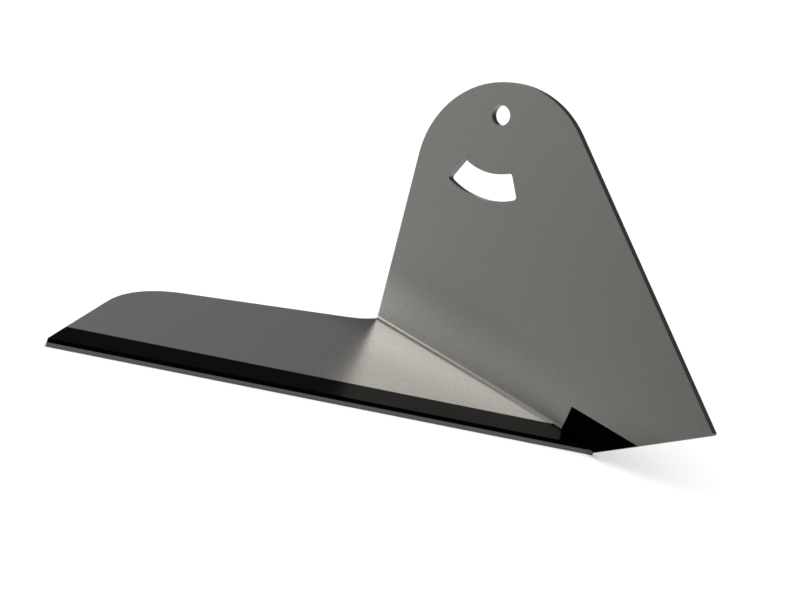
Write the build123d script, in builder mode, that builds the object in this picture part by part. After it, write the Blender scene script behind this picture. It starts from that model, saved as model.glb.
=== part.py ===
"""Wing blade of an inter-row hoe: a steel angle with one long, swept-back cutting wing.

The flat wing runs under the soil and cuts with its long front edge. The plate stands on the wing's
inner end and leans away from it. It bolts to the hoe's shank with one pivot hole and one arc slot,
so the wing's pitch can be set and clamped. Both are one forged steel piece. A hard-metal strip is
brazed in a rebate along the cutting edge, and a hard-metal tile in a pocket in the plate's lower
front corner.

Frame: millimetres. Origin at the pivot hole's centre on the plate's outer face, +X forward in the
direction of travel, +Y to the plate's outer side, +Z up. The wing is level and reaches out to -Y.
"""
from build123d import *
import os
from math import cos, radians, sin, tan

# Forged angle. The plate leans outward from square to the wing
thickness = 6.0
plate_lean_angle = 13.0
inside_corner_radius = 2.0
outside_corner_radius = 1.5

# Plate, measured from the notch: the rear end of the inside corner
head_centre_x = 36.5
head_centre_up = 114.5
head_radius = 59.0
nose_x = 235.0
nose_radius = 1.5
toe_x = 165.7
lower_edge_angle = 35.5

# Pivot hole and pitch slot
pivot_x = 18.0
pivot_up = 148.5
pivot_diameter = 12.5
slot_centre_radius = 44.0
slot_width = 16.5
slot_start_angle = 253.5
slot_sweep_angle = 56.0
slot_corner_radius = 2.0

# Wing, measured from the notch: forward along the fold and out from the inside corner
wing_span = 241.5
front_root_x = 165.0
front_sweep_angle = 45.4
front_end_in = 2.2
end_lean_angle = 9.2
end_corner_radius = 74.0
rear_line_x = 5.3
rear_sweep_angle = 38.5
rear_root_out = 18.0

# Hard-metal strip and tile, let in flush with the steel
strip_width = 19.8
strip_thickness = 3.0
tile_back = 22.2
tile_height = 17.5
tile_thickness = 3.0

# Directions across the plate: up along its faces, and out through it
lean_sin = sin(radians(plate_lean_angle))
lean_cos = cos(radians(plate_lean_angle))
plate_up = Vector(0, lean_sin, lean_cos)
plate_out = Vector(0, lean_cos, -lean_sin)

# Planes through the notch: the plate's inner face seen from the wing, the wing's top face
# seen from below with its second axis pointing out along the wing
notch = Vector(-pivot_x, 0, 0) - plate_up * pivot_up - plate_out * thickness
plate_face = Plane(origin=notch, x_dir=(1, 0, 0), z_dir=plate_out * -1)
wing_face = Plane(origin=notch, x_dir=(1, 0, 0), z_dir=(0, 0, -1))

# Reach of the forging's outside corner past the inside corner, along either face, and the same
# for a layer as thick as the tile
corner_share = (1 - lean_sin) / lean_cos
corner_reach = thickness * corner_share
tile_low = -tile_thickness * corner_share

# Directions in the wing's plane
along_front = Vector(-sin(radians(front_sweep_angle)), cos(radians(front_sweep_angle)))
along_end = Vector(sin(radians(end_lean_angle)), cos(radians(end_lean_angle)))
along_rear = Vector(-sin(radians(rear_sweep_angle)), cos(radians(rear_sweep_angle)))

# Cutting edge: where it passes the inside corner, its end under the plate, and its outer tip
front_root = Vector(front_root_x, 0)
front_end = front_root - along_front * (front_end_in / along_front.Y)
wing_tip = front_root + along_front * (wing_span / along_front.Y)

# Strip's rear corners: at the plate and on the wing's outer end
strip_root = front_root - Vector(strip_width / cos(radians(front_sweep_angle)), 0)
strip_end = wing_tip - along_end * (strip_width / sin(radians(front_sweep_angle + end_lean_angle)))

# Lower edge of the plate: it rises from the toe, on the underside, to the nose
lower_slope = tan(radians(lower_edge_angle))
toe = Vector(toe_x, -corner_reach)
nose = Vector(nose_x, -corner_reach + (nose_x - toe_x) * lower_slope)
pivot = Vector(pivot_x, pivot_up)

with BuildSketch(wing_face) as wing_outline:
    with BuildLine():
        rear_root = Vector(rear_line_x, 0) + along_rear * (rear_root_out / along_rear.Y)
        rear_edge = PolarLine(rear_root, wing_span, direction=along_rear, mode=Mode.PRIVATE)
        end_edge = IntersectingLine(wing_tip, along_end * -1, rear_edge, mode=Mode.PRIVATE)
        end_corner = end_edge @ 1
        Polyline(rear_root, end_corner, wing_tip, front_end, toe, (0, -corner_reach), (0, 0))
        TangentArc(rear_root, (0, 0), tangent=along_rear * -1)
    make_face()
    fillet(wing_outline.vertices().sort_by_distance(end_corner)[0], end_corner_radius)

with BuildSketch(plate_face) as plate_outline:
    with Locations((head_centre_x, head_centre_up)):
        Circle(head_radius)
    with BuildLine():
        Polyline((0, 0), toe, nose, (0, 0))
    make_face()
    make_hull()
    with BuildLine():
        Polyline((0, 0), (0, -corner_reach), toe, (0, 0))
    make_face()
    fillet(plate_outline.vertices().sort_by_distance(nose)[0], nose_radius)

with BuildSketch(plate_face) as slot_outline:
    with BuildLine():
        slot_inner = CenterArc(pivot, slot_centre_radius - slot_width / 2,
                               slot_start_angle, slot_sweep_angle)
        slot_outer = CenterArc(pivot, slot_centre_radius + slot_width / 2,
                               slot_start_angle, slot_sweep_angle)
        Line(slot_inner @ 0, slot_outer @ 0)
        Line(slot_inner @ 1, slot_outer @ 1)
    make_face()
    fillet(slot_outline.vertices(), slot_corner_radius)

with BuildSketch(wing_face) as strip_outline:
    with BuildLine():
        Polyline(front_root, wing_tip, strip_end, strip_root, front_root)
    make_face()

with BuildSketch(plate_face) as tile_outline:
    with BuildLine():
        tile_top = tile_low + tile_height
        tile_rear = front_root_x - tile_back
        low_front = (toe.X + (tile_low - toe.Y) / lower_slope, tile_low)
        top_front = (toe.X + (tile_top - toe.Y) / lower_slope, tile_top)
        Polyline(low_front, top_front, (tile_rear, tile_top), (tile_rear, tile_low), low_front)
    make_face()


def corner_gap(sharp_corner, radius):
    """Area between a sharp corner of the forging's cross-section and the arc that rounds it."""
    tangent_length = radius * tan(radians(90 - plate_lean_angle) / 2)
    on_wing = sharp_corner - Vector(tangent_length, 0)
    on_plate = sharp_corner + Vector(lean_sin, lean_cos) * tangent_length
    arc_centre = on_wing + Vector(0, radius)
    with BuildSketch(Plane(origin=notch, x_dir=(0, 1, 0), z_dir=(1, 0, 0))) as gap:
        with BuildLine():
            Polyline(sharp_corner, on_plate, arc_centre, on_wing, sharp_corner)
        make_face()
        with Locations(arc_centre):
            Circle(radius, mode=Mode.SUBTRACT)
    return gap.sketch


inside_corner = corner_gap(Vector(0, 0), inside_corner_radius)
outside_corner = corner_gap(Vector(corner_reach, -thickness), outside_corner_radius)

with BuildPart() as wing_blade:
    extrude(wing_outline.sketch, amount=thickness)
    extrude(plate_outline.sketch, amount=-thickness)
    extrude(inside_corner, amount=strip_root.X)
    extrude(outside_corner, amount=nose_x, mode=Mode.SUBTRACT)
    extrude(slot_outline.sketch, amount=-thickness, mode=Mode.SUBTRACT)
    with Locations(plate_face.location):
        with Locations(pivot):
            Hole(pivot_diameter / 2)
    # Rebate and pocket. The inside corner's radius ends along the strip, which lies flush and bare
    extrude(strip_outline.sketch, amount=strip_thickness, mode=Mode.SUBTRACT)
    extrude(strip_outline.sketch, amount=-inside_corner_radius, mode=Mode.SUBTRACT)
    extrude(tile_outline.sketch, amount=-tile_thickness, mode=Mode.SUBTRACT)
wing_blade.part.label = "wing_blade"

with BuildPart() as edge_strip:
    extrude(strip_outline.sketch, amount=strip_thickness)
edge_strip.part.label = "edge_strip"

with BuildPart() as corner_tile:
    extrude(tile_outline.sketch, amount=-tile_thickness)
    extrude(strip_outline.sketch, amount=strip_thickness, mode=Mode.SUBTRACT)
corner_tile.part.label = "corner_tile"

os.makedirs("parts", exist_ok=True)
export_step(wing_blade.part, "parts/wing_blade.step")
export_step(edge_strip.part, "parts/edge_strip.step")
export_step(corner_tile.part, "parts/corner_tile.step")
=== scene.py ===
from math import cos, radians, sin

import bpy
from mathutils import Matrix, Vector


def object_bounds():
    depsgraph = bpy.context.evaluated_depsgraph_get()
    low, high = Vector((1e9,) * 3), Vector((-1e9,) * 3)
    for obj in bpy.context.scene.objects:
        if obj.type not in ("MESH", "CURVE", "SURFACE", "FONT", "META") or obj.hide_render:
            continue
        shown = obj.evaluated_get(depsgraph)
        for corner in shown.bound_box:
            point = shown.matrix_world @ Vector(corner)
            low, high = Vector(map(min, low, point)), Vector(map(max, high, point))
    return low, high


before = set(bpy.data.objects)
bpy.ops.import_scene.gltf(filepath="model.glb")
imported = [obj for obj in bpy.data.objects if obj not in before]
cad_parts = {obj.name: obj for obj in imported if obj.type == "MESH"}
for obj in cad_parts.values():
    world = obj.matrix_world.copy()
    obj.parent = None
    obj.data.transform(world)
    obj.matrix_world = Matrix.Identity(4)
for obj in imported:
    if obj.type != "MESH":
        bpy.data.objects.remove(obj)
cad_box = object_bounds()


# Steel blade: plate and wing, forged as one angle of even thickness. The broad faces are ground to
# a fine, directionless satin. Their colour carries painted light and shade: on the plate painted shade
# forward and lower down and a painted reflection of the wing by the fold, on the wing painted shading
# forward and round the fold. The cut walls keep the dark forging skin, and the root of the fold stays
# rough, its colour brightened as painted light.

class Wire:
    """One output of a shader node. Arithmetic on wires and numbers adds the Math nodes for it."""

    def __init__(self, tree, socket):
        self.tree, self.socket = tree, socket

    def __add__(self, other):
        return maths(self.tree, "ADD", self, other)

    def __sub__(self, other):
        return maths(self.tree, "SUBTRACT", self, other)

    def __rsub__(self, other):
        return maths(self.tree, "SUBTRACT", other, self)

    def __mul__(self, other):
        return maths(self.tree, "MULTIPLY", self, other)

    __radd__, __rmul__ = __add__, __mul__


def node(tree, kind, settings, inputs, output=0):
    """Adds a node: first its settings, then a number, a colour or a wire for each named input."""
    made = tree.nodes.new(kind)
    for name, value in settings.items():
        setattr(made, name, value)
    for name, value in inputs.items():
        if isinstance(value, Wire):
            tree.links.new(value.socket, made.inputs[name])
        else:
            made.inputs[name].default_value = value
    return Wire(tree, made.outputs[output]) if made.outputs else None


def maths(tree, operation, *numbers):
    """One operation on one or two numbers or wires."""
    return node(tree, "ShaderNodeMath", {"operation": operation}, dict(enumerate(numbers)))


def mix(tree, factor, first, second, blend="MIX"):
    """Mixes two colours. Inputs 6 and 7 and output 2 are the ones that a Mix node has for colours."""
    return node(tree, "ShaderNodeMix", {"data_type": "RGBA", "blend_type": blend},
                {"Factor": factor, 6: first, 7: second}, 2)


def coordinate(place, axis):
    """The place's distance along one axis, in metres."""
    return node(place.tree, "ShaderNodeSeparateXYZ", {}, {"Vector": place}, axis)


def noise(place, scale, detail):
    """Blotches from 0 to 1, the widest of them about 1 / scale metres across."""
    return node(place.tree, "ShaderNodeTexNoise", {}, {"Vector": place, "Scale": scale, "Detail": detail})


def falloff(distance, start, width):
    """1 up to the start, then a smooth fall to 0 over the width."""
    return node(distance.tree, "ShaderNodeMapRange", {"interpolation_type": "SMOOTHSTEP"},
                {"Value": distance, "From Min": start, "From Max": start + width, "To Min": 1, "To Max": 0})


def bump(height, strength, depth):
    """Normals tilted by a height from 0 to 1, which stands for a depth in metres."""
    return node(height.tree, "ShaderNodeBump", {},
                {"Height": height, "Strength": strength, "Distance": depth})


def finish(name):
    """A new material with an empty node tree, and the wire of its object coordinates."""
    material = bpy.data.materials.new(name)
    material.use_nodes = True
    material.node_tree.nodes.clear()
    place = node(material.node_tree, "ShaderNodeTexCoord", {}, {}, "Object")
    return material, material.node_tree, place


def surface(tree, constants, inputs):
    """Ends a material in one Principled shader: constants on its sockets, wires for what varies."""
    shader = node(tree, "ShaderNodeBsdfPrincipled", {}, {**constants, **inputs})
    node(tree, "ShaderNodeOutputMaterial", {}, {"Surface": shader})


def clad(name, material):
    """Gives a CAD node its finish."""
    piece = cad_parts[name]
    piece.data.materials.clear()
    piece.data.materials.append(material)


steel_dark, steel_light = (0.355, 0.350, 0.328, 1), (0.375, 0.369, 0.345, 1)
steel_tint = (1.0, 0.95, 1.0, 1)
steel_roughness, roughness_spread = 0.28, 0.04
noise_middle = 0.5

# Broad clouds and fine grain colour the steel, and the grain and its finer tooth raise it
cloud_scale, cloud_detail, cloud_share = 9, 3, 0.7
grain_scale, grain_detail, grain_share = 700, 2, 0.3
tooth_scale, tooth_detail, tooth_height = 2600, 1, 0.5
relief_strength, relief_depth = 0.05, 0.00002

# The plate's lean, the line of the bend's sharp inner corner and the steel's thickness, as in the CAD
plate_lean = radians(13)
fold_y, fold_z = -0.0392515, -0.1433442
thickness = 0.006

# The steel's colour is multiplied by these factors of painted light and shade. Each changes by so much for
# a metre forward, and the plate's also for a metre up. The fold factors, a painted reflection on the plate
# and painted shading on the wing, are added at the fold, and fade out over a width
plate_painted_shading, plate_shading_forward, plate_shading_upward = 0.91, -1.95, 1.42
plate_fold_painted_light, plate_fold_light_forward, plate_fold_light_width = 0.84, -6.0, 0.034
wing_painted_shading, wing_shading_forward = 0.89, -1.15
wing_fold_painted_shading, wing_fold_shading_forward, wing_fold_shading_width = -0.32, 4.3, 0.042
fold_start = 0.002
wing_to_plate = 0.001

# The root lies this near to the sharp corner. The skin on a wall begins this far in from each face
root_start, root_width = 0.00145, 0.0003
# Painted light: the root's colour is multiplied by its tone, which brightens it; its dullness raises the
# roughness
root_painted_light, root_dullness = 1.2, 0.7
skin_colour = (0.088, 0.087, 0.084, 1)
skin_inset = 0.0001
skin_end = thickness - 2 * skin_inset

satin_steel, tree, place = finish("satin_steel")
clouds = noise(place, cloud_scale, cloud_detail)
grain = noise(place, grain_scale, grain_detail)
tooth = noise(place, tooth_scale, tooth_detail)
ground = mix(tree, clouds * cloud_share + grain * grain_share, steel_dark, steel_light)

forward = coordinate(place, "X")
outward = coordinate(place, "Y") - fold_y
upward = coordinate(place, "Z") - fold_z
along_wing, through_wing = 0 - outward, 0 - upward
up_plate = outward * sin(plate_lean) + upward * cos(plate_lean)
through_plate = outward * cos(plate_lean) - upward * sin(plate_lean)
from_corner = maths(tree, "SQRT", outward * outward + upward * upward)

# Painted light and shade, by place: the plate darker forward and lower down, and paler by the fold as a
# painted reflection of the wing
plate_fold_light_mask = falloff(up_plate, fold_start, plate_fold_light_width)
plate_shading = (plate_painted_shading + forward * plate_shading_forward + up_plate * plate_shading_upward
            + plate_fold_light_mask * (plate_fold_painted_light + forward * plate_fold_light_forward))
# Painted shading on the wing: darker forward, and round the fold darker towards the back and paler towards
# the front
wing_fold_shading_mask = falloff(along_wing, fold_start, wing_fold_shading_width)
wing_shading = (wing_painted_shading + forward * wing_shading_forward
           + wing_fold_shading_mask * (wing_fold_painted_shading + forward * wing_fold_shading_forward))
wing = falloff(up_plate, 0, wing_to_plate)
root = falloff(from_corner, root_start, root_width)
# The steel's colour is multiplied by the painted light and shade, and brightened at the root as painted
# light
painted_shading = (wing * wing_shading + (1 - wing) * plate_shading) * (1 - root * (1 - root_painted_light))
steel_with_painted_shading = mix(tree, 1, ground, painted_shading, "MULTIPLY")

in_from_faces = 1 - (falloff(through_plate, skin_inset, skin_inset)
                     * falloff(through_wing, skin_inset, skin_inset))
in_from_backs = (falloff(through_plate, skin_end, skin_inset)
                 * falloff(through_wing, skin_end, skin_inset))
colour = mix(tree, in_from_faces * in_from_backs, steel_with_painted_shading, skin_colour)
roughness = steel_roughness + (grain - noise_middle) * roughness_spread + root * root_dullness
relief = bump(grain + tooth * tooth_height, relief_strength, relief_depth)
surface(tree, {"Metallic": 1, "Specular Tint": steel_tint},
        {"Base Color": colour, "Roughness": roughness, "Normal": relief})
clad("wing_blade", satin_steel)


# Edge strip: black sintered hard metal, brazed into the rebate along the whole cutting edge.
# Its top lies flush with the wing, and its ground front wall is the cutting edge.

hard_metal_colour = (0.0008, 0.0008, 0.0008, 1)
hard_metal_tint = (0.63, 0.63, 0.63, 1)
hard_metal_roughness, hard_metal_spread = 0.20, 0.1
pore_scale, pore_detail = 1500, 2
pore_strength, pore_depth = 0.1, 0.00001

hard_metal, tree, place = finish("hard_metal")
pores = noise(place, pore_scale, pore_detail)
roughness = hard_metal_roughness + (pores - noise_middle) * hard_metal_spread
relief = bump(pores, pore_strength, pore_depth)
surface(tree, {"Base Color": hard_metal_colour, "Metallic": 1, "Specular Tint": hard_metal_tint},
        {"Roughness": roughness, "Normal": relief})
clad("edge_strip", hard_metal)


# Corner tile: a small plate of the same sintered hard metal, brazed into the pocket at the plate's
# lower front corner. It lies flush with the plate's face and guards the toe against wear.

clad("corner_tile", hard_metal)


# Floor: a matt studio table, a hair's breadth under the level wing. White paper lies on it behind
# and under the blade, and its edges fade into the grey table. The camera and mirroring metal see
# over a third of its white as the paper's own glow, like a light table's.

floor_size = 40
floor_gap = 0.0001
floor_z = cad_box[0].z - floor_gap
table_colour, paper_colour = (0.40, 0.40, 0.40, 1), (0.92, 0.92, 0.92, 1)
paper_turn = radians(37.2)
paper_sides, side_fade = (-0.30, 0.31), 0.22
paper_ends, end_fade = (-0.53, 0.68), 0.40
glow_colour, glow_share = (1, 1, 1, 1), 0.38


def between(distance, limits, width):
    """1 between the two limits, with a smooth fall to 0 over the width beyond each."""
    low, high = limits
    return falloff(distance, high, width) * falloff(0 - distance, -low, width)


paper, tree, place = finish("paper")
turned = node(tree, "ShaderNodeMapping", {"vector_type": "TEXTURE"},
              {"Vector": place, "Rotation": (0, 0, paper_turn)})
across, along = coordinate(turned, "X"), coordinate(turned, "Y")
whiteness = between(across, paper_sides, side_fade) * between(along, paper_ends, end_fade)
sheet = mix(tree, whiteness, table_colour, paper_colour)
matt = node(tree, "ShaderNodeBsdfPrincipled", {},
            {"Base Color": sheet, "Roughness": 1, "Specular IOR Level": 0})
glow = node(tree, "ShaderNodeEmission", {}, {"Color": glow_colour, "Strength": 1})
seen = sum(node(tree, "ShaderNodeLightPath", {}, {}, ray)
           for ray in ("Is Camera Ray", "Is Glossy Ray", "Is Transmission Ray"))
both = node(tree, "ShaderNodeMixShader", {}, {"Fac": seen * whiteness * glow_share, 1: matt, 2: glow})
node(tree, "ShaderNodeOutputMaterial", {}, {"Surface": both})

bpy.ops.mesh.primitive_plane_add(size=floor_size, location=(0, 0, floor_z))
floor = bpy.context.object
floor.name = "floor"
floor.data.materials.append(paper)


# Studio light: one world without lamps. Soft patches of light hang in a dark room, each fading out
# round its own direction. The brightest shows in the wing by way of the plate, as the pale triangle
# behind the fold.

def toward(azimuth, elevation):
    """A direction from its angles in degrees. Azimuth 0 is the side that the wing points to."""
    turn, rise = radians(azimuth), radians(elevation)
    return Vector((sin(turn) * cos(rise), -cos(turn) * cos(rise), sin(rise)))


# Azimuth, elevation, sharpness and strength
patches = [
    (322, 45, 40, 4.85),
    (336, 20, 40, 0.8),
    (330, 60, 14, 0.45),
    (281, 44, 40, 4.2),
    (225, 22, 40, 0.3),
    (120, 58, 14, 2.8),
    (60, 58, 14, 1.2),
    (160, 10, 8, 0.08),
    (0, 90, 3, 1.2),
]

world = bpy.data.worlds.new("studio")
bpy.context.scene.world = world
world.use_nodes = True
tree = world.node_tree
tree.nodes.clear()
direction = node(tree, "ShaderNodeTexCoord", {}, {}, "Generated")
light = 0
for azimuth, elevation, sharpness, strength in patches:
    nearness = node(tree, "ShaderNodeVectorMath", {"operation": "DOT_PRODUCT"},
                    {0: direction, 1: toward(azimuth, elevation)}, "Value")
    light = light + strength * maths(tree, "EXPONENT", (nearness - 1) * sharpness)
room = node(tree, "ShaderNodeBackground", {}, {"Color": light, "Strength": 1})
node(tree, "ShaderNodeOutputWorld", {}, {"Surface": room})


# Camera: a very long lens at the photograph's viewing angle, rolled about its own axis so that
# the level wing runs up to the left.

camera_azimuth, camera_elevation = 27.114, 24.574
camera_roll = radians(18.901)
camera_distance = 6.421
camera_lens = 473.7
near_end, far_end = 0.1, 100
aim = Vector((-0.01221, -0.02952, -0.12973))

back = toward(camera_azimuth, camera_elevation)
level_right = Vector((0, 0, 1)).cross(back).normalized()
level_up = back.cross(level_right)
right = cos(camera_roll) * level_right + sin(camera_roll) * level_up
up = cos(camera_roll) * level_up - sin(camera_roll) * level_right
facing = Matrix((right, up, back)).transposed().to_4x4()

lens = bpy.data.cameras.new("camera")
lens.lens = camera_lens
lens.clip_start, lens.clip_end = near_end, far_end
camera = bpy.data.objects.new("camera", lens)
bpy.context.collection.objects.link(camera)
camera.matrix_world = Matrix.Translation(aim + camera_distance * back) @ facing
bpy.context.scene.camera = camera
bpy.context.scene.view_settings.view_transform = "Standard"
